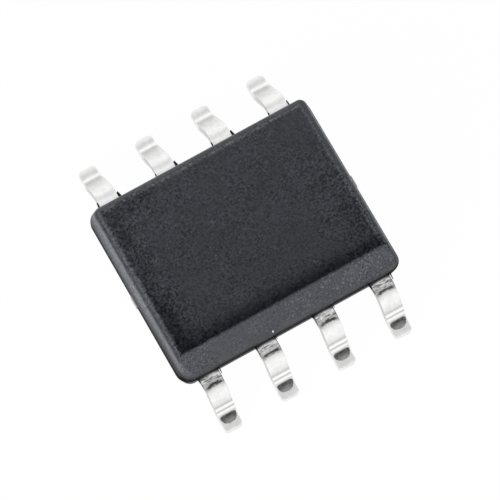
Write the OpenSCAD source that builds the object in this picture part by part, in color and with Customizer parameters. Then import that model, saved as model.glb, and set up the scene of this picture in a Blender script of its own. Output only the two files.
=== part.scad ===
// Real-time clock chip in an eight-lead small-outline package, all sizes in millimetres.
// The origin is the centre of the package on the board plane. X runs along the lead rows,
// Y runs across them and Z is up. Lead 1 is at -X on the bevelled -Y side, and the numbers
// run along that row and back along the other.

/* [Package body] */
// From the centre line of each end lead to the end of the moulding
end_margin = 0.545; // [0.5:0.005:1]
// Width of the moulding between the two lead rows
body_width = 3.9; // [3.6:0.05:5]
// Height of the moulding from its underside to its top face
body_height = 1.45; // [1.3:0.05:1.7]
// Gap between the board plane and the underside of the moulding
standoff = 0.15; // [0.1:0.01:0.25]
// How far the top and bottom halves of each wall lean in from the parting band
wall_lean_in = 0.12; // [0.06:0.01:0.14]
// Radius of the four upright corners at the parting band
corner_radius = 0.24; // [0.23:0.01:0.4]
// Small 45 degree break on the edges of the top and bottom faces
edge_break = 0.09; // [0.03:0.01:0.11]
// How far in from the side the lead 1 bevel meets the top face
bevel_width = 0.39; // [0.3:0.01:0.5]
// How far the moulding flash reaches out beside each lead
flash_length = 0.15; // [0.05:0.01:0.18]
// Thickness of that flash where it leaves the moulding
flash_width = 0.06; // [0.03:0.01:0.1]

/* [Leads] */
// Distance between neighbouring lead centres
lead_pitch = 1.27; // [1.1:0.01:1.6]
// Width of a lead where it leaves the moulding
lead_width = 0.43; // [0.35:0.01:0.49]
// Width of a lead at the end of its foot
toe_width = 0.38; // [0.3:0.01:0.42]
// Thickness of the lead frame
frame_thickness = 0.2; // [0.15:0.01:0.25]
// How far each lead reaches out from the side of the moulding
lead_reach = 1.05; // [1:0.01:1.3]
// How far out each lead keeps its full width
full_width_run = 0.2; // [0.18:0.01:0.3]
// Straight run of a lead before its first bend
shoulder_run = 0.12; // [0.02:0.01:0.15]
// Radius inside the bend at the shoulder
shoulder_radius = 0.18; // [0.08:0.01:0.2]
// Radius inside the bend at the heel
heel_radius = 0.18; // [0.1:0.01:0.2]
// Angle of the leg away from upright, in degrees
leg_lean = 33; // [15:1:36]
// Radius of the corners at the end of the foot
toe_radius = 0.06; // [0.03:0.01:0.09]

/* [Inside the moulding] */
// Length of the die paddle along the lead rows
paddle_length = 2.5; // [2.2:0.05:2.7]
// Width of the die paddle across the lead rows
paddle_width = 2; // [1.6:0.05:2.2]
// How far the paddle sits below the lead fingers
paddle_downset = 0.15; // [0.1:0.01:0.2]
// Width of the two tie bars that held the paddle in the frame
tie_bar_width = 0.25; // [0.2:0.01:0.3]
// How far the cut ends of the tie bars stand out of the moulding
tie_bar_proud = 0.02; // [0.01:0.01:0.06]
// Gap left between the paddle and the lead fingers
finger_gap = 0.2; // [0.15:0.01:0.3]
// Gap left between a tie bar and the lead fingers beside it
tie_gap = 0.3; // [0.2:0.01:0.4]
// Width of the inner ends of the four middle leads
finger_width = 0.72; // [0.5:0.01:0.8]
// How far an end lead widens at the end of the moulding, to hold it in
anchor_lip = 0.04; // [0.02:0.01:0.08]
// How far inside the wall the leads start to widen
neck_depth = 0.15; // [0.1:0.01:0.25]
// Length of the silicon die
die_length = 1.6; // [1.2:0.05:2]
// Width of the silicon die
die_width = 1.3; // [1:0.05:1.5]
// Thickness of the silicon die
die_thickness = 0.25; // [0.2:0.01:0.28]
// Thickness of the adhesive under the die
attach_thickness = 0.02; // [0.01:0.005:0.04]
// Diameter of a bond wire
wire_diameter = 0.025; // [0.02:0.001:0.04]
// Height of the upright neck of a bond wire above the die
wire_neck = 0.09; // [0.06:0.01:0.14]
// From the middle of the die to the pads near its long edges, along the lead rows
row_pad_x = 0.4; // [0.2:0.05:0.5]
// From the middle of the die to the pads near its short edges, across the lead rows
end_pad_y = 0.39; // [0.2:0.01:0.4]
// From the middle of the package to the wire ends on the four end leads
end_stitch_y = 0.7; // [0.55:0.05:1]

/* [Hidden] */
$fn = 96;

body_length = 3 * lead_pitch + 2 * end_margin;

// levels
frame_bottom = standoff + body_height / 2 - frame_thickness / 2;
frame_top = frame_bottom + frame_thickness;
body_top = standoff + body_height;
paddle_bottom = frame_bottom - paddle_downset;
paddle_top = paddle_bottom + frame_thickness;
die_bottom = paddle_top + attach_thickness;
die_top = die_bottom + die_thickness;

// lead bends, in the plane across the rows
lap = 0.00002; // neighbouring lengths of a lead run this far into each other
strip_width = 1.5 * lead_pitch; // wider than any lead, to be trimmed to its outline
strip_middle = frame_top - frame_thickness / 2;
bend_turn = 90 - leg_lean;
shoulder_y = body_width / 2 + shoulder_run;
shoulder_mid = shoulder_radius + frame_thickness / 2;
heel_mid = heel_radius + frame_thickness / 2;
bend_drop = (shoulder_mid + heel_mid) * (1 - cos(bend_turn));
leg_length = (frame_bottom - bend_drop) / cos(leg_lean);
leg_y = shoulder_y + shoulder_mid * sin(bend_turn);
leg_z = strip_middle - shoulder_mid * (1 - cos(bend_turn));
foot_y = leg_y + leg_length * sin(leg_lean) + heel_mid * sin(bend_turn);
toe_y = body_width / 2 + lead_reach;

// lead outline, seen from above
taper_y = body_width / 2 + full_width_run;
neck_y = body_width / 2 - neck_depth;
row_finger_end = paddle_width / 2 + finger_gap;
end_finger_end = tie_bar_width / 2 + tie_gap;
taper_angle = atan((lead_width - toe_width) / 2 / (toe_y - taper_y));

// tie bars
tie_bar_root = 0.1; // how far a tie bar starts inside the paddle
tie_bar_flat = 0.15; // how far it runs on level before it rises
tie_bar_end = body_length / 2 + tie_bar_proud;

// die and wires
attach_margin = 0.05;
ball_radius = 1.5 * wire_diameter;
ball_height = 0.6 * wire_diameter;
stitch_radius = 1.2 * wire_diameter;
wire_radius = wire_diameter / 2;
loop_radius = 0.06;
loop_wire_radius = 1.1 * wire_radius; // the loop is a little thicker than the straights
loop_grip = 0.3 * wire_radius; // how far the straights run into it
pad_inset = 0.1;
stitch_inset = 0.14;
wire_fall = die_top - frame_top;

// where each lead stands: its row side, its distance from the middle and which way that is
function row_side(pin) = pin <= 4 ? -1 : 1;
function place(pin) = pin <= 4 ? pin - 2.5 : 6.5 - pin;
function at_end(pin) = abs(place(pin)) > 1;
function end_side(pin) = sign(place(pin));
function lead_x(pin) = abs(place(pin)) * lead_pitch;

// turns what is drawn for the +X +Y quarter into the quarter a lead stands in
module in_quarter(pin) {
  mirror([end_side(pin) < 0 ? 1 : 0, 0, 0])
    mirror([0, row_side(pin) < 0 ? 1 : 0, 0])
      children();
}

// a length of lead bent round an axis along X, from one angle to another
module bend(inside, from, to) {
  rotate([90, 0, 90])
    rotate(from)
      rotate_extrude(angle = to - from)
        translate([inside, -strip_width / 2])
          square([frame_thickness, strip_width]);
}

module strip(length) {
  translate([-strip_width / 2, -lap, -frame_thickness / 2])
    cube([strip_width, length + 2 * lap, frame_thickness]);
}

// flat finger, shoulder, leg, heel and foot, before they are trimmed to a lead's outline
module bent_strip() {
  translate([0, end_finger_end, strip_middle])
    strip(shoulder_y - end_finger_end);
  translate([0, shoulder_y, strip_middle - shoulder_mid])
    bend(shoulder_radius, leg_lean, 90);
  translate([0, leg_y, leg_z])
    rotate([-bend_turn, 0, 0])
      strip(leg_length);
  translate([0, foot_y, frame_thickness / 2 + heel_mid])
    bend(heel_radius, 180 + leg_lean, 270);
  translate([0, foot_y, frame_thickness / 2])
    strip(toe_y - foot_y);
}

// the outline of a lead from above, with its centre line at x = 0 and the finger inside
module lead_outline(pin) {
  half = lead_width / 2;
  tip_in = at_end(pin) ? lead_x(pin) - paddle_length / 2 - finger_gap : finger_width / 2;
  tip_out = at_end(pin) ? half + anchor_lip : finger_width / 2;
  tip_y = at_end(pin) ? end_finger_end : row_finger_end;
  polygon([
    [half, taper_y],
    [toe_width / 2, toe_y],
    [-toe_width / 2, toe_y],
    [-half, taper_y],
    [-half, neck_y],
    [-tip_in, neck_y - abs(tip_in - half)],
    [-tip_in, tip_y],
    [tip_out, tip_y],
    [tip_out, neck_y - abs(tip_out - half)],
    [half, neck_y],
  ]);
}

// what is cut away to round one corner of the toe
module toe_corner() {
  from = taper_angle;
  middle = (from + 90) / 2;
  outer = 2 * toe_radius;
  reach = outer / cos((90 - from) / 2);
  centre_x = toe_width / 2 - toe_radius * (1 - sin(from)) / cos(from);
  translate([centre_x, toe_y - toe_radius, -frame_thickness / 2])
    difference() {
      linear_extrude(2 * frame_thickness)
        polygon([
          [0, 0],
          [outer * cos(from), outer * sin(from)],
          [reach * cos(middle), reach * sin(middle)],
          [0, outer],
        ]);
      cylinder(h = 2 * frame_thickness, r = toe_radius);
    }
}

module lead(pin) {
  color([0.86, 0.87, 0.87])
    in_quarter(pin)
      translate([lead_x(pin), 0, 0])
        difference() {
          intersection() {
            bent_strip();
            translate([0, 0, -frame_thickness])
              linear_extrude(body_top)
                lead_outline(pin);
          }
          toe_corner();
          mirror([1, 0, 0])
            toe_corner();
        }
}

// the flat room a lead takes up in the moulding
module lead_room(pin) {
  in_quarter(pin)
    translate([lead_x(pin), 0, frame_bottom])
      linear_extrude(frame_thickness)
        lead_outline(pin);
}

// thin flash left standing on both sides of a lead
module flash(pin) {
  root = body_width / 2;
  base = lead_width / 2 + flash_width;
  tip = lead_width / 2 + flash_width / 4;
  in_quarter(pin)
    translate([lead_x(pin), 0, frame_bottom])
      linear_extrude(frame_thickness)
        polygon([
          [base, root - flash_width],
          [base, root],
          [tip, root + flash_length],
          [-tip, root + flash_length],
          [-base, root],
          [-base, root - flash_width],
        ]);
}

// how far the wall stands in from the parting band at each level, as [level, inset]
wall_levels = [
  [standoff, wall_lean_in + edge_break],
  [standoff + edge_break, wall_lean_in],
  [frame_bottom, 0],
  [frame_top, 0],
  [body_top - edge_break, wall_lean_in],
  [body_top, wall_lean_in + edge_break],
];

module wall_profile(half) {
  right = [for (level = wall_levels) [half - level[1], level[0]]];
  left = [for (i = [len(wall_levels) - 1:-1:0]) [wall_levels[i][1] - half, wall_levels[i][0]]];
  polygon(concat(right, left));
}

module rounded_block() {
  straight_x = body_length / 2 - corner_radius;
  straight_y = body_width / 2 - corner_radius;
  rotate([90, 0, 0])
    linear_extrude(2 * straight_y, center = true)
      wall_profile(body_length / 2);
  rotate([90, 0, 90])
    linear_extrude(2 * straight_x, center = true)
      wall_profile(body_width / 2);
  for (turn = [0:3])
    translate([
      (turn == 0 || turn == 3 ? 1 : -1) * straight_x,
      (turn < 2 ? 1 : -1) * straight_y,
      0,
    ])
      rotate(90 * turn)
        rotate_extrude(angle = 90)
          polygon(concat(
            [[0, standoff]],
            [for (level = wall_levels) [corner_radius - level[1], level[0]]],
            [[0, body_top]]
          ));
}

// what is cut from the top edge along the lead 1 side, at 45 degrees
module bevel_cut() {
  edge_y = bevel_width - body_width / 2;
  over = 0.1;
  deep = bevel_width + over;
  rotate([90, 0, 90])
    linear_extrude(2 * body_length, center = true)
      polygon([
        [edge_y + over, body_top + over],
        [edge_y - deep, body_top - deep],
        [edge_y - deep, body_top + over],
      ]);
}

module body() {
  color([0.2, 0.2, 0.21])
    difference() {
      union() {
        rounded_block();
        for (pin = [1:8])
          flash(pin);
      }
      bevel_cut();
      for (pin = [1:8])
        lead_room(pin);
      paddle_shape();
      attach_shape();
      die_shape();
      for (pin = [1:8])
        wire_shape(pin);
    }
}

// one tie bar seen from the side: out from the paddle, up the joggle and out of the wall
module tie_bar() {
  start = paddle_length / 2 - tie_bar_root;
  rise_x = paddle_length / 2 + tie_bar_flat;
  rotate([90, 0, 0])
    linear_extrude(tie_bar_width, center = true)
      polygon([
        [start, paddle_bottom],
        [rise_x, paddle_bottom],
        [rise_x + paddle_downset, frame_bottom],
        [tie_bar_end, frame_bottom],
        [tie_bar_end, frame_top],
        [rise_x + paddle_downset, frame_top],
        [rise_x, paddle_top],
        [start, paddle_top],
      ]);
}

module paddle_shape() {
  translate([-paddle_length / 2, -paddle_width / 2, paddle_bottom])
    cube([paddle_length, paddle_width, frame_thickness]);
  tie_bar();
  mirror([1, 0, 0])
    tie_bar();
}

module attach_shape() {
  size = [die_length + 2 * attach_margin, die_width + 2 * attach_margin];
  translate([-size[0] / 2, -size[1] / 2, paddle_top])
    cube([size[0], size[1], attach_thickness]);
}

module die_shape() {
  translate([-die_length / 2, -die_width / 2, die_bottom])
    cube([die_length, die_width, die_thickness]);
}

// both ends of a wire, for the +X +Y quarter
function pad_at(pin) = at_end(pin)
  ? [die_length / 2 - pad_inset, end_pad_y]
  : [row_pad_x, die_width / 2 - pad_inset];
function stitch_at(pin) = at_end(pin)
  ? [paddle_length / 2 + finger_gap + stitch_inset, end_stitch_y]
  : [lead_x(pin), row_finger_end + stitch_inset];

// a wire from its ball on the die, up the neck, over the loop and down to its stitch
module wire_shape(pin) {
  pad = pad_at(pin);
  over = stitch_at(pin) - pad;
  span = norm(over);
  // the slope is the line from the stitch that touches the loop
  level = ball_height + wire_neck;
  run = span - loop_radius;
  fall = level + wire_fall - wire_radius;
  far = norm([run, fall]);
  slope = atan2(fall, run) + asin(loop_radius / far);
  slope_length = sqrt(far * far - loop_radius * loop_radius);
  in_quarter(pin)
    translate([pad[0], pad[1], die_top])
      rotate(atan2(over[1], over[0])) {
        cylinder(h = ball_height, r = ball_radius);
        translate([0, 0, ball_height / 2])
          cylinder(h = level + loop_grip - ball_height / 2, r = wire_radius);
        translate([loop_radius, 0, level])
          rotate([90, 0, 0])
            rotate(90 - slope)
              rotate_extrude(angle = 90 + slope)
                translate([loop_radius, 0])
                  circle(r = loop_wire_radius);
        translate([loop_radius * (1 + sin(slope)), 0, level + loop_radius * cos(slope)])
          rotate([0, 90 + slope, 0])
            translate([0, 0, -loop_grip])
              cylinder(h = slope_length + loop_grip, r = wire_radius);
        translate([span, 0, -wire_fall])
          cylinder(h = wire_diameter, r = stitch_radius);
      }
}

module lead_1() lead(1);
module lead_2() lead(2);
module lead_3() lead(3);
module lead_4() lead(4);
module lead_5() lead(5);
module lead_6() lead(6);
module lead_7() lead(7);
module lead_8() lead(8);

module die_paddle() color([0.78, 0.56, 0.4]) paddle_shape();
module die_attach() color([0.72, 0.7, 0.66]) attach_shape();
module die() color([0.36, 0.4, 0.48]) die_shape();

module bond_wire(pin) color([0.9, 0.72, 0.3]) wire_shape(pin);
module bond_wire_1() bond_wire(1);
module bond_wire_2() bond_wire(2);
module bond_wire_3() bond_wire(3);
module bond_wire_4() bond_wire(4);
module bond_wire_5() bond_wire(5);
module bond_wire_6() bond_wire(6);
module bond_wire_7() bond_wire(7);
module bond_wire_8() bond_wire(8);

body();
lead_1();
lead_2();
lead_3();
lead_4();
lead_5();
lead_6();
lead_7();
lead_8();
die_paddle();
die_attach();
die();
bond_wire_1();
bond_wire_2();
bond_wire_3();
bond_wire_4();
bond_wire_5();
bond_wire_6();
bond_wire_7();
bond_wire_8();
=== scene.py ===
import math

import bmesh
import bpy
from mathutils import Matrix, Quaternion, Vector


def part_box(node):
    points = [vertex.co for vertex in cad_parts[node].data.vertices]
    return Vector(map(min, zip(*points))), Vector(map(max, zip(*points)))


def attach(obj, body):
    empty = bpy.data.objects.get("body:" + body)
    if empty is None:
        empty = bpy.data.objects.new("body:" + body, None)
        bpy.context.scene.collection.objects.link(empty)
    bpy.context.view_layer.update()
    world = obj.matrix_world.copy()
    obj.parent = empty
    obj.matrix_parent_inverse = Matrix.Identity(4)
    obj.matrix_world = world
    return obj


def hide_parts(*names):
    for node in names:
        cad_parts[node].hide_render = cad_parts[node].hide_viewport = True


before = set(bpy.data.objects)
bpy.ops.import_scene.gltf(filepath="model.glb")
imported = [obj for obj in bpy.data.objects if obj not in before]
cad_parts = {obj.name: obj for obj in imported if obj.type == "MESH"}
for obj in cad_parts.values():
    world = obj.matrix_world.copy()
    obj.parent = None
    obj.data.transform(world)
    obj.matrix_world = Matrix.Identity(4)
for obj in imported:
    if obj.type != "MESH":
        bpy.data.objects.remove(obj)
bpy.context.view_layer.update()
mm = 0.001
print("frame loaded:", len(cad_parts), "nodes")


class Value:  # a shader socket that takes part in plain Python sums
    def __init__(self, shader, socket):
        self.shader = shader
        self.socket = socket

    def __add__(self, other):
        return self.shader.maths("ADD", self, other)

    __radd__ = __add__

    def __sub__(self, other):
        return self.shader.maths("SUBTRACT", self, other)

    def __rsub__(self, other):
        return self.shader.maths("SUBTRACT", other, self)

    def __mul__(self, other):
        return self.shader.maths("MULTIPLY", self, other)

    __rmul__ = __mul__

    def __truediv__(self, other):
        return self.shader.maths("DIVIDE", self, other)

    def __pow__(self, other):
        return self.shader.maths("POWER", self, other)

    def __neg__(self):
        return self * -1

    def __abs__(self):
        return self.shader.maths("ABSOLUTE", self)


class Shader:  # builds the nodes of one material or of the world
    def __init__(self, owner):
        owner.use_nodes = True
        self.owner = owner
        self.nodes = owner.node_tree.nodes
        self.links = owner.node_tree.links
        self.nodes.clear()

    def node(self, kind, settings=None, inputs=None, output=0):
        made = self.nodes.new(kind)
        for name, setting in (settings or {}).items():
            if name == "stops":
                self.setStops(made.color_ramp.elements, setting)
            else:
                setattr(made, name, setting)
        for name, given in (inputs or {}).items():
            if isinstance(given, Value):
                self.links.new(given.socket, made.inputs[name])
            else:
                made.inputs[name].default_value = given
        return Value(self, made.outputs[output]) if made.outputs else None

    def setStops(self, elements, stops):  # stops are [position, grey level] pairs
        while len(elements) < len(stops):
            elements.new(1.0)
        for element, (position, level) in zip(elements, stops):
            element.position = position
            element.color = (level, level, level, 1.0)

    def maths(self, operation, a, b=0.0):
        return self.node("ShaderNodeMath", {"operation": operation}, {0: a, 1: b})

    def least(self, a, b):
        return self.maths("MINIMUM", a, b)

    def most(self, a, b):
        return self.maths("MAXIMUM", a, b)

    def rise(self, value, low, high):  # smoothly from 0 at low to 1 at high
        return self.node("ShaderNodeMapRange", {"interpolation_type": "SMOOTHSTEP"},
                         {"Value": value, "From Min": low, "From Max": high})

    def fall(self, value, low, high):  # smoothly from 1 at low to 0 at high
        return 1 - self.rise(value, low, high)

    def band(self, value, low, high, soft):  # 1 between low and high, 0 outside
        return (self.rise(value, low - soft, low + soft)
                * self.fall(value, high - soft, high + soft))

    def parts(self, vector):  # x, y and z of a vector
        split = self.node("ShaderNodeSeparateXYZ", {}, {0: vector})
        return [Value(self, output) for output in split.socket.node.outputs]

    def profile(self, value, levels):  # levels are [place, level] pairs in rising order
        start, end = levels[0][0], levels[-1][0]
        stops = [[(place - start) / (end - start), level] for place, level in levels]
        return self.node("ShaderNodeValToRGB", {"stops": stops},
                         {"Fac": (value - start) / (end - start)})

    def place(self):  # millimetres in the object's own frame
        found = self.node("ShaderNodeTexCoord", output="Object")
        return self.node("ShaderNodeVectorMath", {"operation": "SCALE"},
                         {"Vector": found, "Scale": 1 / mm})

    def facing(self):  # the surface's outward direction
        return self.node("ShaderNodeNewGeometry", output="Normal")

    def noise(self, place, scale, detail, roughness, stretch=None):  # its values lie round 0.5
        if stretch:
            place = self.node("ShaderNodeVectorMath", {"operation": "MULTIPLY"},
                              {0: place, 1: stretch})
        return self.node("ShaderNodeTexNoise", {},
                         {"Vector": place, "Scale": scale, "Detail": detail,
                          "Roughness": roughness})

    def mix(self, factor, a, b):  # from colour a to colour b
        return self.node("ShaderNodeMix", {"data_type": "RGBA"}, {0: factor, 6: a, 7: b},
                         output=2)

    def cover(self, base, mask, top):  # one number over another, where the mask is 1
        return base + mask * (top - base)

    def tint(self, color, value):  # a colour made brighter or darker by a number
        return self.node("ShaderNodeVectorMath", {"operation": "SCALE"},
                         {0: color, "Scale": value})

    def bump(self, height, depth):  # depth in millimetres for a height of 1
        return self.node("ShaderNodeBump", {}, {"Height": height, "Distance": depth * mm})

    def finish(self, shader, kind="ShaderNodeOutputMaterial"):
        self.node(kind, {}, {"Surface": shader})
        return self.owner

    def principled(self, **inputs):
        names = {"color": "Base Color", "roughness": "Roughness", "metallic": "Metallic",
                 "normal": "Normal", "specular": "Specular IOR Level"}
        return self.node("ShaderNodeBsdfPrincipled", {},
                         {names[key]: given for key, given in inputs.items()})

    def surface(self, **inputs):  # a whole material of one shader
        return self.finish(self.principled(**inputs))

    def blend(self, factor, first, second):  # from one shader to another
        return self.node("ShaderNodeMixShader", {}, {0: factor, 1: first, 2: second})

    def rays(self):  # the camera's own rays, and those that a glossy or clear surface sends on
        path = self.node("ShaderNodeLightPath").socket.node
        names = "Is Camera Ray", "Is Glossy Ray", "Is Transmission Ray"
        seen, glossy, through = [Value(self, path.outputs[name]) for name in names]
        return seen, self.most(glossy, through)


def newMaterial(name):
    return Shader(bpy.data.materials.new(name))


def newPiece(name, bm, material, smooth=True):
    mesh = bpy.data.meshes.new(name)
    bm.to_mesh(mesh)
    bm.free()
    mesh.materials.append(material)
    for face in mesh.polygons:
        face.use_smooth = smooth
    piece = bpy.data.objects.new(name, mesh)
    bpy.context.collection.objects.link(piece)
    return piece


def bridge(bm, first, second):  # faces between two closed rings of points
    for i in range(len(first)):
        j = (i + 1) % len(first)
        bm.faces.new((first[i], first[j], second[j], second[i]))


def applyModifiers(piece):  # keeps the shape that the modifiers make, without them
    bpy.context.view_layer.update()
    shaped = piece.evaluated_get(bpy.context.evaluated_depsgraph_get())
    mesh = bpy.data.meshes.new_from_object(shaped)
    piece.modifiers.clear()
    piece.data = mesh


chip = {  # what the leads and the moulding share, in mm
    "pitch": 1.27,
    "leadWidth": 0.43,
    "frameThickness": 0.2,
    "flashReach": 0.15,
}

bodyLow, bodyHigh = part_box("body")
halfLength = bodyHigh.x / mm
halfWidth = bodyHigh.y / mm - chip["flashReach"]
bodyBottom = bodyLow.z / mm
bodyTop = bodyHigh.z / mm
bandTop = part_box("die_paddle")[1].z / mm  # the parting band is as high as the lead frame
bandBottom = bandTop - chip["frameThickness"]


# leads 1 to 4 stand on the -Y side from -X to +X, 5 to 8 on the +Y side and back
def rowSide(pin):
    return -1 if pin <= 4 else 1


def leadX(pin):
    return (pin - 2.5 if pin <= 4 else 6.5 - pin) * chip["pitch"]


def acrossLead(s, x):  # how far a shader's x lies from the middle of the nearest lead
    return (s.maths("FRACT", x / chip["pitch"] + 4.0) - 0.5) * chip["pitch"]


lead = {
    # sizes in mm
    "toeWidth": 0.38,
    "fullWidthRun": 0.2,  # from the wall to where the lead starts to narrow
    "shoulderRun": 0.12,  # from the wall to the first bend
    "shoulderRadius": 0.18,
    "legLean": 33.0,  # degrees from upright
    "heelRadius": 0.18,
    "toeRadius": 0.06,
    "edgeRounding": 0.022,
    "neckDepth": 0.15,  # how far inside the wall the lead widens to its finger
    "anchorLip": 0.04,
    "fingerGap": 0.2,
    "fingerWidth": 0.72,
    "paddleHalfLength": 1.25,
    # the edges wander a little: how far, over what run it starts, and the phase in
    # radians for each mm and each pin, on the inward and the outward edge
    "edgeWave": 0.004,
    "edgeWaveRunIn": 0.1,
    "edgeWavePhases": ((23, 2.1), (19, 3.7)),
    # the shallow dish in the near feet, behind the toe
    "dishPlace": 2.76,
    "dishHalfLength": 0.11,
    "dishHalfWidth": 0.175,
    "dishDepth": 0.012,
    # how finely the mesh is divided
    "fingerSteps": 8,
    "bendSteps": 12,
    "legSteps": 8,
    "footSteps": 10,
    "toeSteps": 6,
    "topPoints": 13,
    "edgeSteps": 3,
    # the plating
    "color": (1.0, 1.0, 0.995),
    "toneRange": (0.03, 1.0),
    "roughness": 0.2,
    "scuffRoughness": 0.2,
    "bumpDepth": 0.002,
    # its noises: scale, detail, roughness and stretch
    "blotches": (9.0, 3.0, 0.6),
    "ragged": (24.0, 3.0, 0.65),
    "smears": (16.0, 4.0, 0.7, (0.36, 2.0, 1.0)),
    "scratches": (5.0, 4.0, 0.65, (4.0, 0.7, 0.7)),
    # marks on the near leads, with painted reflections and painted shade, by distance from the
    # middle of the chip
    "scuffedAndReflecting": (1.96, 2.15),
    "marked": (1.97, 2.2),
    "reflectedDarkLine": (2.15, 2.22),
    "shadedCutEdge": (1.95, 2.22),
    "spotPlace": 2.715,
    "reflectionSpotHalfLength": 0.156,
    "reflectionSpotHalfWidth": 0.178,
    "reflectionSpotHeelEdge": (2.683, 2.712),
    # how bright the plating is along a lead, by the same distance; part of it is painted: a dark
    # shadow at the root, a dark band where the near bend mirrors the body, and bright highlight
    # stripes on the bends
    "nearReflectionTones": [
        [1.95, 0.06], [1.968, 0.1], [1.99, 0.5], [2.01, 0.66], [2.035, 0.66], [2.07, 0.52],
        [2.11, 0.44], [2.14, 0.5], [2.155, 0.42], [2.168, 0.08], [2.203, 0.08], [2.226, 0.52],
        [2.247, 0.76], [2.3, 0.87], [2.36, 0.95], [2.44, 0.93], [2.5, 0.84], [2.53, 0.74],
        [2.55, 0.55], [2.565, 0.75], [2.575, 1.0], [2.6, 1.0], [2.615, 0.6], [2.625, 0.55],
        [2.64, 0.95], [2.665, 1.0], [2.68, 0.7], [2.72, 0.75], [2.94, 0.76], [3.0, 0.9],
    ],
    "farReflectionTones": [
        [1.95, 0.7], [1.985, 0.85], [2.04, 1.0], [2.08, 0.92], [2.11, 0.82], [2.15, 0.84],
        [2.21, 0.95], [2.3, 0.92], [2.42, 0.8], [2.54, 0.74], [2.65, 0.68], [2.69, 0.72],
        [2.74, 0.92], [2.775, 1.0], [2.81, 0.9], [2.84, 0.8], [2.88, 0.76], [2.92, 0.86],
        [2.97, 1.0], [3.0, 1.0],
    ],
}

neckY = halfWidth - lead["neckDepth"]
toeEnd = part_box("lead_5")[1].y / mm
toeStart = toeEnd - lead["toeRadius"]


def leadPath(pin):
    # the middle line as [y, z, slope down in radians], from the finger's inner end to the toe
    mid = chip["frameThickness"] / 2
    turn = math.radians(90 - lead["legLean"])
    shoulderBend = lead["shoulderRadius"] + mid
    heelBend = lead["heelRadius"] + mid
    flatZ = bandTop - mid
    legDrop = flatZ - mid - (shoulderBend + heelBend) * (1 - math.cos(turn))
    legLength = legDrop / math.sin(turn)

    fingerLow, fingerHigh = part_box("lead_%d" % pin)
    innerEnd = min(abs(fingerLow.y), abs(fingerHigh.y)) / mm
    steps = lead["fingerSteps"]
    flat = [innerEnd + (neckY - innerEnd) * i / steps for i in range(steps)]
    shoulderY = halfWidth + lead["shoulderRun"]
    path = [[y, flatZ, 0.0] for y in flat + [neckY, halfWidth, shoulderY]]

    steps = lead["bendSteps"]
    for i in range(1, steps + 1):
        a = turn * i / steps
        path.append([shoulderY + shoulderBend * math.sin(a),
                     flatZ - shoulderBend * (1 - math.cos(a)), a])
    legY, legZ, _ = path[-1]
    for i in range(1, lead["legSteps"] + 1):
        run = legLength * i / lead["legSteps"]
        path.append([legY + run * math.cos(turn), legZ - run * math.sin(turn), turn])
    heelY = path[-1][0] + heelBend * math.sin(turn)
    for i in range(1, steps + 1):
        a = turn * (1 - i / steps)
        path.append([heelY - heelBend * math.sin(a), mid + heelBend * (1 - math.cos(a)), a])
    for i in range(1, lead["footSteps"] + 1):
        path.append([heelY + (toeStart - heelY) * i / lead["footSteps"], mid, 0.0])
    for i in range(1, lead["toeSteps"] + 1):
        a = math.radians(90 * i / lead["toeSteps"])
        path.append([toeStart + lead["toeRadius"] * math.sin(a), mid, 0.0])
    return path


def leadSides(pin, y):
    # how far the lead reaches towards the middle of the row and away from it, seen from above
    half = chip["leadWidth"] / 2
    fromMiddle = abs(leadX(pin))
    if y < neckY:
        inward = outward = lead["fingerWidth"] / 2
        if fromMiddle > chip["pitch"]:  # an end lead, whose finger passes beside the paddle
            inward = fromMiddle - lead["paddleHalfLength"] - lead["fingerGap"]
            outward = half + lead["anchorLip"]
        return min(inward, half + neckY - y), min(outward, half + neckY - y)
    taperY = halfWidth + lead["fullWidthRun"]
    if y > taperY:
        half += (lead["toeWidth"] / 2 - half) * (y - taperY) / (toeEnd - taperY)
    if y > toeStart:
        radius = lead["toeRadius"]
        half -= radius - math.sqrt(radius ** 2 - min(y - toeStart, radius) ** 2)
    wave = lead["edgeWave"] * min(1.0, max(0.0, (y - halfWidth) / lead["edgeWaveRunIn"]))
    return [half - wave * (1 + math.sin(perMm * y + perPin * pin)) / 2
            for perMm, perPin in lead["edgeWavePhases"]]


def dishAt(pin, y, across):  # how far the top of a near foot dips there
    out = ((y - lead["dishPlace"]) / lead["dishHalfLength"]) ** 2
    out += (across / lead["dishHalfWidth"]) ** 2
    return lead["dishDepth"] * (1 - out) ** 0.5 if rowSide(pin) < 0 and out < 1 else 0.0


def leadSection(low, high):
    # the outline of the strip at one place, as [across, height over the middle line]
    r = lead["edgeRounding"]
    half = chip["frameThickness"] / 2
    gaps = lead["topPoints"] - 1
    outline = [[low + r + (high - low - 2 * r) * i / gaps, half] for i in range(gaps + 1)]
    for centreX, centreZ, start in ((high - r, half - r, 90), (high - r, r - half, 0),
                                    (low + r, r - half, -90), (low + r, half - r, -180)):
        for i in range(1, lead["edgeSteps"] + 1):
            a = math.radians(start - 90 / lead["edgeSteps"] * i)
            outline.append([centreX + r * math.cos(a), centreZ + r * math.sin(a)])
    return outline[:-1]


def buildLead(pin, material):
    bm = bmesh.new()
    rings = []
    for y, z, slope in leadPath(pin):
        inward, outward = leadSides(pin, y)
        low, high = (-inward, outward) if leadX(pin) > 0 else (-outward, inward)
        ring = []
        for i, (across, over) in enumerate(leadSection(low, high)):
            if 0 < i < lead["topPoints"] - 1:
                over -= dishAt(pin, y, across)
            out = y + over * math.sin(slope)
            spot = (leadX(pin) + across, rowSide(pin) * out, z + over * math.cos(slope))
            ring.append(bm.verts.new(Vector(spot) * mm))
        rings.append(ring)
    for a, b in zip(rings, rings[1:]):
        bridge(bm, a, b)
    bm.faces.new(rings[0])
    bm.faces.new(rings[-1])
    bmesh.ops.recalc_face_normals(bm, faces=bm.faces)
    piece = newPiece("tinned_lead_%d" % pin, bm, material)
    piece.modifiers.new("flats", "WEIGHTED_NORMAL").keep_sharp = True
    applyModifiers(piece)
    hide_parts("lead_%d" % pin)
    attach(piece, "root")


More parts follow.
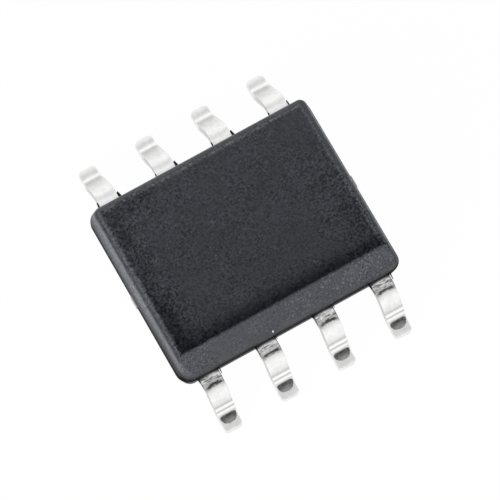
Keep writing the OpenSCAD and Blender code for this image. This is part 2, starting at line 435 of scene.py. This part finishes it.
def tinMaterial():
    s = newMaterial("tin_plate")
    place = s.place()
    x, y = s.parts(place)[:2]
    toRight, _, toTop = s.parts(s.facing())
    out = abs(y)
    across = acrossLead(s, x)
    near = s.fall(y, -0.1, 0.1)  # 1 on leads 1 to 4, 0 on the others

    def byRow(nearValue, farValue):
        return near * nearValue + (1 - near) * farValue

    blotches = s.noise(place, *lead["blotches"])
    ragged = s.noise(place, *lead["ragged"])
    smears = s.noise(place, *lead["smears"])
    scratches = s.noise(place, *lead["scratches"])

    # the bends cross each shoulder in a shallow arch
    shoulder = s.fall(out, 2.24, 2.4)
    bow = 0.7 * across * across + 0.06 * (ragged - 0.5) + 0.08 * (smears - 0.5)
    arch = out - shoulder * bow
    # the plating's brightness along each lead, with its painted shadow, reflections and
    # highlights
    tone = byRow(s.profile(arch, lead["nearReflectionTones"]), s.profile(arch, lead["farReflectionTones"]))
    # the dark line of the near bend, a painted reflection of the body, fades before it reaches
    # the edges
    fade = s.rise(abs(across), 0.13, 0.19) * s.band(arch, *lead["reflectedDarkLine"], 0.02) * near
    tone = tone + 0.28 * fade

    # grey mottled near shoulders: scuffing of the plating, and partly a painted reflection of
    # the dark wall, with dark marks
    scuffsAndReflection = s.band(out, *lead["scuffedAndReflecting"], 0.02) * near
    skin = 0.15 + 3.4 * (smears - 0.5) + 2.4 * (ragged - 0.5)
    marks = s.fall(smears, 0.41, 0.47) * s.band(out, *lead["marked"], 0.015) * near
    tone = tone * (1 + scuffsAndReflection * skin) * (1 - 0.5 * marks)
    # painted shade: a dark line along the +X cut edge of each near shoulder
    shadedCutEdge = s.rise(across, 0.19, 0.204) * s.band(out, *lead["shadedCutEdge"], 0.02) * near
    tone = tone * (1 - 0.7 * shadedCutEdge)
    tone = tone * (1 + 0.16 * (scratches - 0.5) + 0.3 * (blotches - 0.5))

    # a painted dark reflection in the dish of the near feet, straight at the heel and round at
    # the toe
    corner = s.most(abs(across) - 0.1, 0.0)
    heelEdge = s.rise(out - 3.6 * corner * corner, *lead["reflectionSpotHeelEdge"])
    oval = ((out - lead["spotPlace"]) / lead["reflectionSpotHalfLength"]) ** 2
    oval = oval + abs(across / lead["reflectionSpotHalfWidth"]) ** 2.6 + 0.5 * (ragged - 0.5)
    spot = heelEdge * s.fall(oval, 0.82, 1.1) * near
    rim = s.rise(abs(across), 0.06, 0.16)
    spotTone = 0.09 + 0.22 * s.rise(out, 2.72, 2.85) * (1 - 0.6 * rim) + 0.32 * (ragged - 0.5)
    tone = s.cover(tone, spot, s.most(spotTone, 0.05))

    # the inner and under faces are plain, and the cut sides show duller metal
    tone = s.cover(tone, s.fall(toTop, -0.1, 0.2), 0.7 + 0.2 * blotches)
    foot = s.rise(out, 2.5, 2.72)
    nearSide = 0.2 + 0.36 * s.rise(out, 2.12, 2.26) + 0.26 * foot
    farSide = 0.5 + 0.3 * foot
    tone = s.cover(tone, s.rise(abs(toRight), 0.55, 0.85), byRow(nearSide, farSide))

    darkest, brightest = lead["toneRange"]
    return s.surface(color=s.tint(lead["color"], s.least(s.most(tone, darkest), brightest)),
                     roughness=(lead["roughness"] + 0.06 * blotches
                                + lead["scuffRoughness"] * scuffsAndReflection),
                     metallic=1.0,
                     normal=s.bump(0.4 * scratches + 1.2 * scuffsAndReflection * ragged, lead["bumpDepth"]))


tin = tinMaterial()
for pin in range(1, 9):
    buildLead(pin, tin)
print("leads built")


mould = {
    # sizes in mm
    "wallLeanIn": 0.12,  # from the parting band to the top and to the bottom
    "nearBandLean": 0.03,  # of the band itself, on the near side
    "cornerRadius": 0.24,
    "wornCornerRadius": 0.3,  # the corner beside lead 1
    "bevelWidth": 0.39,
    "topRounding": 0.112,
    "bottomRounding": 0.09,
    "bevelTopRounding": 0.075,
    "bevelLowRounding": 0.1,
    "bandRounding": 0.025,
    "roundingSteps": 5,
    "cornerSteps": 9,
    # the thin flash beside the leads: gap to the lead, width and reach,
    # on the -X side and the +X side of each pin
    "flashRoot": 0.1,
    "flashStep": 0.01,
    "flashThickness": 0.06,
    "flash": {
        1: ((0.0, 0.022, 0.1), (0.02, 0.018, 0.12)),
        2: ((0.0, 0.02, 0.07), (0.014, 0.012, 0.06)),
        3: ((0.0, 0.026, 0.06), (0.016, 0.012, 0.07)),
        4: ((0.0, 0.026, 0.1), (0.022, 0.016, 0.13)),
        5: ((0.0, 0.02, 0.1), (0.0, 0.026, 0.148)),
        6: ((0.0, 0.024, 0.12), (0.0, 0.054, 0.149)),
        7: ((0.0, 0.016, 0.1), (0.0, 0.056, 0.149)),
        8: ((0.0, 0.03, 0.145), (0.0, 0.058, 0.149)),
    },
    # the compound
    "topColor": (0.935, 1.0, 1.18, 1),
    "wallColor": (0.95, 1.0, 1.14, 1),
    "farRimColor": (0.92, 0.96, 1.05, 1),
    "topTone": 0.0305,
    "bevelLitTone": 0.0655,
    "speckTone": 0.06,
    "spotTone": 0.6,  # the one pale spot by the bevel, with its place and half sizes
    "spotPlace": (-0.436, -1.9),
    "spotSize": (0.018, 0.02),
    "farEdgeHighlight": 0.064,  # painted highlights: the pale lines inside the edges of the flat top
    "sideEdgeHighlight": 0.04,
    "topGrain": 6.4,
    "wallGrain": 3.2,
    "roughness": 0.46,
    "specular": 0.25,
    "mattRoughness": 0.95,
    "mattTint": 0.3,
    "mostMatt": 0.95,
    "bumpDepth": 0.008,
    # its noises: scale, detail and roughness
    "grain": (24.0, 2.0, 0.55),
    "fine": (50.0, 2.0, 0.6),
    "clouds": (1.6, 3.0, 0.6),
    "mottle": (15.0, 3.0, 0.7),
    "wander": (8.0, 3.0, 0.65),
    "patches": (2.3, 3.0, 0.6),
    "sparks": (21.0, 2.0, 0.5),
    "crackle": (12.0, 2.0, 0.6),
    # painted light and shade: the walls' brightness by height, paler up the wall, with a darker
    # line and then a highlight on the rounded top edge
    "wallLightAndShade": [
        [0.15, 0.03], [0.7, 0.035], [0.95, 0.02], [1.05, 0.03], [1.15, 0.054], [1.28, 0.09],
        [1.38, 0.106], [1.443, 0.1], [1.49, 0.076], [1.533, 0.036], [1.557, 0.03],
        [1.574, 0.045], [1.5855, 0.066], [1.593, 0.07], [1.598, 0.062], [1.6, 0.05],
    ],
    # painted shade on the flat top: how far it turns dark and matt, by place along Y and along X
    "nearShade": [
        [-1.52, 0.84], [-1.46, 0.84], [-1.42, 0.8], [-1.38, 0.7], [-1.34, 0.6], [-1.3, 0.48],
        [-1.26, 0.36], [-1.2, 0.22], [-1.1, 0.1], [-1.0, 0.0],
    ],
    "leftShade": [
        [-2.3, 0.64], [-2.18, 0.68], [-2.1, 0.68], [-2.06, 0.62], [-2.0, 0.54], [-1.96, 0.42],
        [-1.92, 0.32], [-1.86, 0.2], [-1.75, 0.08], [-1.6, 0.0],
    ],
}

topHalfLength = halfLength - mould["wallLeanIn"] - mould["topRounding"]
topFarEdge = halfWidth - mould["wallLeanIn"] - mould["topRounding"]


def roundedRing(bm, inset, z, nearInset=None):  # the body's outline at one height
    ring = []
    steps = mould["cornerSteps"]
    for signX, signY, start in ((1, 1, 0), (-1, 1, 90), (-1, -1, 180), (1, -1, 270)):
        radius = mould["wornCornerRadius"] if start == 180 else mould["cornerRadius"]
        insetY = inset if nearInset is None or signY > 0 else nearInset
        for i in range(steps + 1):
            a = math.radians(start + 90 * i / steps)
            spot = (signX * (halfLength - radius) + (radius - inset) * math.cos(a),
                    signY * (halfWidth - radius) + (radius - insetY) * math.sin(a), z)
            ring.append(bm.verts.new([value * mm for value in spot]))
    return ring


def addFlash(bm):  # thin wedges beside the leads, each a closed block that starts in the wall
    root = halfWidth - mould["flashRoot"]
    heights = (bandTop - mould["flashThickness"], bandTop - mould["flashStep"])
    for pin, sides in mould["flash"].items():
        for side, (gap, width, reach) in zip((-1, 1), sides):
            a = chip["leadWidth"] / 2 + gap
            b = a + width
            tip = halfWidth + reach
            outline = ((a, root), (b, root), (b, halfWidth + 0.3 * reach),
                       (b - 0.5 * width, tip), (a, tip - 0.1 * reach))
            low, high = [
                [bm.verts.new(Vector((leadX(pin) + side * across, rowSide(pin) * out, z)) * mm)
                 for across, out in outline] for z in heights]
            bm.faces.new(low)
            bm.faces.new(high)
            bridge(bm, low, high)
    bmesh.ops.recalc_face_normals(bm, faces=bm.faces)


def mouldBlock():  # the body with sharp edges, and each edge's rounding as its bevel weight
    bm = bmesh.new()
    rings = [roundedRing(bm, mould["wallLeanIn"], bodyBottom),
             roundedRing(bm, 0, bandBottom, mould["nearBandLean"]),
             roundedRing(bm, 0, bandTop),
             roundedRing(bm, mould["wallLeanIn"], bodyTop)]
    for a, b in zip(rings, rings[1:]):
        bridge(bm, a, b)
    bm.faces.new(rings[0])
    bm.faces.new(rings[-1])

    # the near top edge is cut off at 45 degrees
    bevelEdge = Vector((0, (mould["bevelWidth"] - halfWidth) * mm, bodyTop * mm))
    bevelOut = Vector((0, -1, 1)).normalized()
    tolerance = 1e-8  # metres
    cut = bmesh.ops.bisect_plane(bm, geom=bm.verts[:] + bm.edges[:] + bm.faces[:],
                                 dist=tolerance, plane_co=bevelEdge, plane_no=bevelOut,
                                 clear_outer=True)
    rim = [item for item in cut["geom_cut"] if isinstance(item, bmesh.types.BMEdge)]
    bmesh.ops.edgenet_fill(bm, edges=rim)
    bmesh.ops.recalc_face_normals(bm, faces=bm.faces)

    def isLevel(edge, z):
        return all(abs(vert.co.z - z * mm) < tolerance for vert in edge.verts)

    def rounding(edge):
        if all(abs((vert.co - bevelEdge).dot(bevelOut)) < tolerance for vert in edge.verts):
            return mould["bevelTopRounding" if isLevel(edge, bodyTop) else "bevelLowRounding"]
        if isLevel(edge, bodyTop):
            return mould["topRounding"]
        if isLevel(edge, bodyBottom):
            return mould["bottomRounding"]
        if isLevel(edge, bandTop) or isLevel(edge, bandBottom):
            return mould["bandRounding"]
        return 0

    weight = bm.edges.layers.float.new("bevel_weight_edge")
    for edge in bm.edges:
        edge[weight] = rounding(edge) / mould["topRounding"]
    return bm


def buildMould(material):
    piece = newPiece("moulding", mouldBlock(), material)
    rounding = piece.modifiers.new("rounding", "BEVEL")
    rounding.limit_method = "WEIGHT"
    rounding.offset_type = "OFFSET"
    rounding.width = mould["topRounding"] * mm
    rounding.segments = mould["roundingSteps"]
    rounding.use_clamp_overlap = False
    rounding.miter_outer = "MITER_SHARP"
    wedges = bmesh.new()
    addFlash(wedges)
    slivers = newPiece("slivers", wedges, material, smooth=False)
    joining = piece.modifiers.new("flash", "BOOLEAN")
    joining.operation = "UNION"
    joining.object = slivers
    piece.modifiers.new("flats", "WEIGHTED_NORMAL").keep_sharp = True
    applyModifiers(piece)
    bpy.data.objects.remove(slivers)
    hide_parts("body")
    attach(piece, "root")


def mouldMaterial():
    s = newMaterial("mould_compound")
    place = s.place()
    x, y, z = s.parts(place)
    toRight, toFar, toTop = s.parts(s.facing())

    grain = s.noise(place, *mould["grain"])
    fine = s.noise(place, *mould["fine"])
    clouds = s.noise(place, *mould["clouds"])
    mottle = s.noise(place, *mould["mottle"])
    wander = s.noise(place, *mould["wander"]) - 0.5
    patches = s.rise(s.noise(place, *mould["patches"]), 0.4, 0.62)
    sparks = s.rise(s.noise(place, *mould["sparks"]), 0.58, 0.7)
    crackle = s.rise(s.noise(place, *mould["crackle"]), 0.53, 0.6)

    # the bevel and the flat top, up to where its edges start to turn down
    tilt = toTop - toFar
    bevel = s.rise(tilt, 1.03, 1.32)
    level = s.rise(toTop, 0.985, 0.9995) * s.rise(z, 1.594, 1.5999)
    turning = s.rise(tilt, 1.005, 1.03) * s.rise(z, 1.572, 1.582)
    flatTop = s.most(level, turning) * (1 - bevel)

    # painted shade: the flat top is darker and more matt along the left and near edges and at
    # two corners
    leftEdge = s.profile(x + 0.22 * wander, mould["leftShade"])
    leftEdge = leftEdge * (0.5 + 0.5 * s.fall(y, -0.8, 0.3))
    nearEdge = s.profile(y + 0.16 * wander, mould["nearShade"])
    upperLeft = s.rise(y + 0.3 * wander, 1.46, 1.6) * 0.3 * s.fall(x, -1.3, -0.9)
    lowerRight = s.rise(x + 0.3 * wander, 1.75, 2.0) * s.fall(y, -0.7, 0.1) * 0.24
    shade = s.most(leftEdge + nearEdge - leftEdge * nearEdge, s.most(upperLeft, lowerRight))
    shade = shade * (0.42 + 1.24 * mottle)

    # painted highlights: a soft paler line just inside the edges of the flat top
    def edgeHighlight(inside, width):
        return s.fall(inside + 0.04 * wander, -0.01, width) ** 2

    farEdgeHighlight = edgeHighlight(topFarEdge - y, 0.1) * mould["farEdgeHighlight"]
    rightEdgeHighlight = edgeHighlight(topHalfLength - x, 0.09) * mould["sideEdgeHighlight"]
    leftEdgeHighlight = edgeHighlight(topHalfLength + x, 0.03) * mould["sideEdgeHighlight"]
    glow = s.most(s.most(farEdgeHighlight, rightEdgeHighlight), leftEdgeHighlight)
    glow = glow * (0.4 + 1.2 * s.rise(mottle, 0.36, 0.64))

    # painted shade: the walls are darker low down on the near and left sides and where they face
    # the front, and a little paler where they face the back
    low = 0.47 * s.fall(z, 1.2, 1.5) + 0.6 * s.rise(-toRight, 0.5, 0.9) * s.fall(z, 1.08, 1.28)
    low = s.fall(y, -1.7, 0.2) * low
    tone = s.profile(z, mould["wallLightAndShade"]) * (1 - low) * (1 - 0.28 * s.rise(-toFar, 0.72, 0.95))
    tone = tone + 0.02 * s.rise(toFar, 0.1, 0.5)
    # painted highlights: the rounded top edges are paler on the right and at the back
    steep = s.rise(s.most(toRight, toFar), 0.74, 0.96)
    edges = 0.1 * s.rise(toRight, 0.35, 0.9) + 0.06 * s.rise(toFar, 0.4, 0.8) + 0.22 * steep
    tone = tone + edges * s.rise(z, 1.4, 1.5)
    # painted light: the bevel is paler than the flat top, and paler still higher up
    tone = s.cover(tone, bevel, mould["bevelLitTone"] * (0.87 + 0.13 * s.rise(z, 1.22, 1.48)))

    # over each near lead the wall is paler, a painted reflection of the lead, with a painted
    # dark shadow line where the lead comes out
    nearSide = s.rise(-toFar, 0.25, 0.6)
    overLead = s.fall(abs(acrossLead(s, x)), 0.1, 0.28) * nearSide
    pale = s.band(z, bandTop + 0.06, bandTop + 0.19, 0.04)
    dark = s.fall(z, bandTop - 0.01, bandTop + 0.04)
    tone = tone * (1 + overLead * (0.5 * pale - 0.4 * dark))
    # the flat top is a little darker towards the front, with the painted highlights inside its
    # edges
    tone = s.cover(tone, flatTop, mould["topTone"] * s.most(0.99 + 0.085 * y, 0.94) + glow)

    # pits where the top is worn, and darker ones a little inside its far left corner
    nearRight = s.rise(x, 1.2, 2.0) * s.fall(y, 0.0, 1.2)
    farLeft = s.fall(x, -1.8, -0.5) * s.rise(y, 0.6, 1.4)
    busy = s.most(s.most(nearRight, farLeft), s.fall(x, -2.0, -1.4))
    worn = s.most(s.most(patches * 0.25, busy * 0.5), shade)
    pits = s.rise(mottle, 0.56, 0.66) * flatTop * worn
    inside = s.least(topHalfLength + x, topFarEdge - y) + 0.25 * wander
    byCorner = s.fall(x, -1.5, -1.0) * s.rise(y, 0.6, 1.1) * s.band(inside, 0.12, 0.32, 0.05)
    pits = s.most(pits, crackle * byCorner * flatTop)

    # the grain of the compound, with pale specks, most of them on the bevel
    lively = 0.36 + 0.26 * patches + 0.4 * busy
    contrast = mould["topGrain"] * flatTop + mould["wallGrain"] * (1 - flatTop)
    texture = 1 + contrast * lively * (grain - 0.5) + 1.6 * (fine - 0.5) + 0.5 * (clouds - 0.5)
    specks = s.most(0.4 * patches, bevel * (0.35 + 1.3 * s.rise(x, -0.9, 1.3)))
    tone = tone * s.most(texture, 0.15) + mould["speckTone"] * (sparks * specks)
    # and one pale spot by the lower edge of the bevel
    (spotX, spotY), (sizeX, sizeY) = mould["spotPlace"], mould["spotSize"]
    spot = ((x - spotX) / sizeX) ** 2 + ((y - spotY) / sizeY) ** 2
    tone = tone + s.fall(spot, 0.5, 1.2) * mould["spotTone"] * s.rise(toTop, 0.2, 0.4)

    # the matt parting band, which fades at the tie bars and on the flash; on the near side it is
    # wider and darker, which is painted shade
    lower = s.rise(z + 0.06 * nearSide, bandBottom - 0.015, bandBottom + 0.025)
    upper = s.fall(z - 0.045 * nearSide + 0.1 * overLead, bandTop, bandTop + 0.1)
    parting = lower * upper * (0.2 + 0.8 * s.rise(abs(y), 0.12, 0.2))
    parting = parting * (1 - 0.7 * s.rise(abs(y), halfWidth, halfWidth + 0.02))
    parting = parting * (0.7 + 0.18 * nearSide * s.fall(z, bandTop - 0.04, bandTop + 0.02))
    rightWall = 0.3 * s.rise(toRight, 0.9, 0.97)
    matt = s.most(s.most(parting, shade * flatTop), s.most(pits * 0.75, rightWall))
    matt = s.least(matt, mould["mostMatt"])

    hue = s.mix(flatTop, mould["wallColor"], mould["topColor"])
    hue = s.mix(s.rise(y, 1.64, 1.7), hue, mould["farRimColor"])
    color = s.tint(hue, tone)
    shiny = s.principled(color=color, roughness=mould["roughness"] + 0.2 * grain,
                         specular=mould["specular"],
                         normal=s.bump(grain + 0.5 * fine - pits, mould["bumpDepth"]))
    dull = s.principled(color=s.tint(color, mould["mattTint"]),
                        roughness=mould["mattRoughness"], specular=0.0)
    return s.finish(s.blend(matt, shiny, dull))


buildMould(mouldMaterial())
print("moulding built")


def dress(node, material):  # the pieces inside keep their own shapes
    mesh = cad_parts[node].data
    mesh.materials.clear()
    mesh.materials.append(material)


paddle = {
    "darkCopper": (0.55, 0.33, 0.22, 1),
    "paleCopper": (0.72, 0.47, 0.33, 1),
    "cutEndColor": (0.5, 0.485, 0.47, 1),
    "cutEnd": (2.36, 2.4),  # where the tie bars turn grey, in mm from the middle
    "roughness": 0.3,
    "bumpDepth": 0.002,
    "rolled": (12.0, 3.0, 0.6, (1.0, 6.0, 1.0)),  # scale, detail, roughness and stretch
}


def copperMaterial():
    s = newMaterial("frame_copper")
    place = s.place()
    rolled = s.noise(place, *paddle["rolled"])
    copper = s.mix(rolled, paddle["darkCopper"], paddle["paleCopper"])
    atEnd = s.rise(abs(s.parts(place)[0]), *paddle["cutEnd"])
    return s.surface(color=s.mix(atEnd, copper, paddle["cutEndColor"]),
                     roughness=paddle["roughness"] + 0.15 * rolled,
                     metallic=1.0, normal=s.bump(rolled, paddle["bumpDepth"]))


dress("die_paddle", copperMaterial())

adhesive = {
    "resinColor": (0.42, 0.4, 0.36, 1),
    "flakeColor": (0.75, 0.73, 0.68, 1),
    "flakeMetallic": 0.4,
    "roughness": 0.5,
    "bumpDepth": 0.003,
    "flakes": (30.0, 3.0, 0.7),
}


def adhesiveMaterial():
    s = newMaterial("die_adhesive")
    flakes = s.noise(s.place(), *adhesive["flakes"])
    return s.surface(color=s.mix(flakes, adhesive["resinColor"], adhesive["flakeColor"]),
                     roughness=adhesive["roughness"],
                     metallic=adhesive["flakeMetallic"] * flakes,
                     normal=s.bump(flakes, adhesive["bumpDepth"]))


dress("die_attach", adhesiveMaterial())

die = {
    "darkColor": (0.16, 0.19, 0.27, 1),
    "paleColor": (0.33, 0.38, 0.46, 1),
    "metallic": 0.6,
    "roughness": 0.16,
    "bumpDepth": 0.001,
    "blocks": (9.0, 1.0, 0.4),
}


def siliconMaterial():
    s = newMaterial("silicon_die")
    blocks = s.noise(s.place(), *die["blocks"])
    return s.surface(color=s.mix(blocks, die["darkColor"], die["paleColor"]),
                     roughness=die["roughness"] + 0.1 * blocks,
                     metallic=die["metallic"], normal=s.bump(blocks, die["bumpDepth"]))


dress("die", siliconMaterial())

wire = {
    "deepGold": (0.86, 0.6, 0.2, 1),
    "paleGold": (0.97, 0.76, 0.36, 1),
    "roughness": 0.2,
    "bumpDepth": 0.0005,
    "drawn": (60.0, 2.0, 0.5),
}


def goldMaterial():
    s = newMaterial("gold_wire")
    drawn = s.noise(s.place(), *wire["drawn"])
    return s.surface(color=s.mix(drawn, wire["deepGold"], wire["paleGold"]),
                     roughness=wire["roughness"] + 0.1 * drawn,
                     metallic=1.0, normal=s.bump(drawn, wire["bumpDepth"]))


gold = goldMaterial()
for pin in range(1, 9):
    dress("bond_wire_%d" % pin, gold)
print("inner pieces dressed")


floorLook = {
    "size": 900.0,
    "color": (0.9, 0.9, 0.9, 1),
    "glow": 0.985,  # how much of it is plain white to the camera and in reflections
}


def buildFloor():
    s = newMaterial("floor")
    seen, mirrored = s.rays()
    plain = s.node("ShaderNodeBsdfDiffuse", {}, {"Color": floorLook["color"]})
    white = s.node("ShaderNodeEmission", {}, {"Color": (1, 1, 1, 1), "Strength": 1.0})
    material = s.finish(s.blend(s.most(seen, mirrored) * floorLook["glow"], plain, white))
    bm = bmesh.new()
    bmesh.ops.create_grid(bm, x_segments=2, y_segments=2, size=floorLook["size"] / 2 * mm)
    floor = newPiece("floor", bm, material, smooth=False)


worldLook = {
    "fill": 0.55,  # light on the object from all round
    "overhead": 0.86,  # reflections of what is straight above
    "overheadFrom": (0.25, 0.95),  # heights of a direction, from where that begins
}


def buildWorld():
    world = bpy.data.worlds.new("studio")
    bpy.context.scene.world = world
    s = Shader(world)
    seen, mirrored = s.rays()
    heading = s.node("ShaderNodeTexCoord", output="Generated")
    overhead = s.rise(s.parts(heading)[2], *worldLook["overheadFrom"])
    mirrored = mirrored * (1 - (1 - worldLook["overhead"]) * overhead)
    level = s.most(s.most(seen, mirrored), worldLook["fill"])
    s.finish(s.node("ShaderNodeBackground", {}, {"Color": (1, 1, 1, 1), "Strength": level}),
             "ShaderNodeOutputWorld")


def fromAngles(azimuth, elevation):  # azimuth 0 stands on the -Y side, 90 on the +X side
    a, e = math.radians(azimuth), math.radians(elevation)
    return Vector((math.sin(a) * math.cos(e), -math.cos(a) * math.cos(e), math.sin(e)))


def aim(thing, look):  # stands it at its angles and distance, facing its target height
    out = fromAngles(look["azimuth"], look["elevation"])
    thing.location = Vector((0, 0, look["targetHeight"] * mm)) + out * look["distance"] * mm
    thing.rotation_mode = "QUATERNION"
    thing.rotation_quaternion = (-out).to_track_quat("-Z", "Y")
    bpy.context.collection.objects.link(thing)


keyLamp = {  # angles in degrees, lengths in mm
    "azimuth": -70,
    "elevation": 25,
    "distance": 70,
    "targetHeight": 0.8,
    "size": 46,
    "brightness": 11.0,
}


def buildLamp():
    radius = keyLamp["size"] * mm / 2
    data = bpy.data.lights.new("key", "AREA")
    data.shape = "DISK"
    data.size = keyLamp["size"] * mm
    data.energy = keyLamp["brightness"] * math.pi * math.pi * radius ** 2
    lamp = bpy.data.objects.new("key", data)
    lamp.visible_glossy = False
    aim(lamp, keyLamp)


view = {
    "azimuth": -29.329,
    "elevation": 75.49,
    "roll": -0.127,
    "distance": 71.46,
    "targetHeight": 0.7,
    "lens": 263.29,
    "sensorWidth": 36,
    "shiftX": 0.011286,
    "shiftY": -0.010906,
    "nearest": 5,
    "furthest": 2000,
}


def buildCamera():
    data = bpy.data.cameras.new("camera")
    data.sensor_width = view["sensorWidth"]
    data.lens = view["lens"]
    data.shift_x = view["shiftX"]
    data.shift_y = view["shiftY"]
    data.clip_start = view["nearest"] * mm
    data.clip_end = view["furthest"] * mm
    camera = bpy.data.objects.new("camera", data)
    aim(camera, view)
    camera.rotation_quaternion @= Quaternion((0, 0, 1), math.radians(view["roll"]))
    bpy.context.scene.camera = camera


buildFloor()
buildWorld()
buildLamp()
buildCamera()
bpy.context.scene.view_settings.view_transform = "Standard"
print("floor, light and camera set")
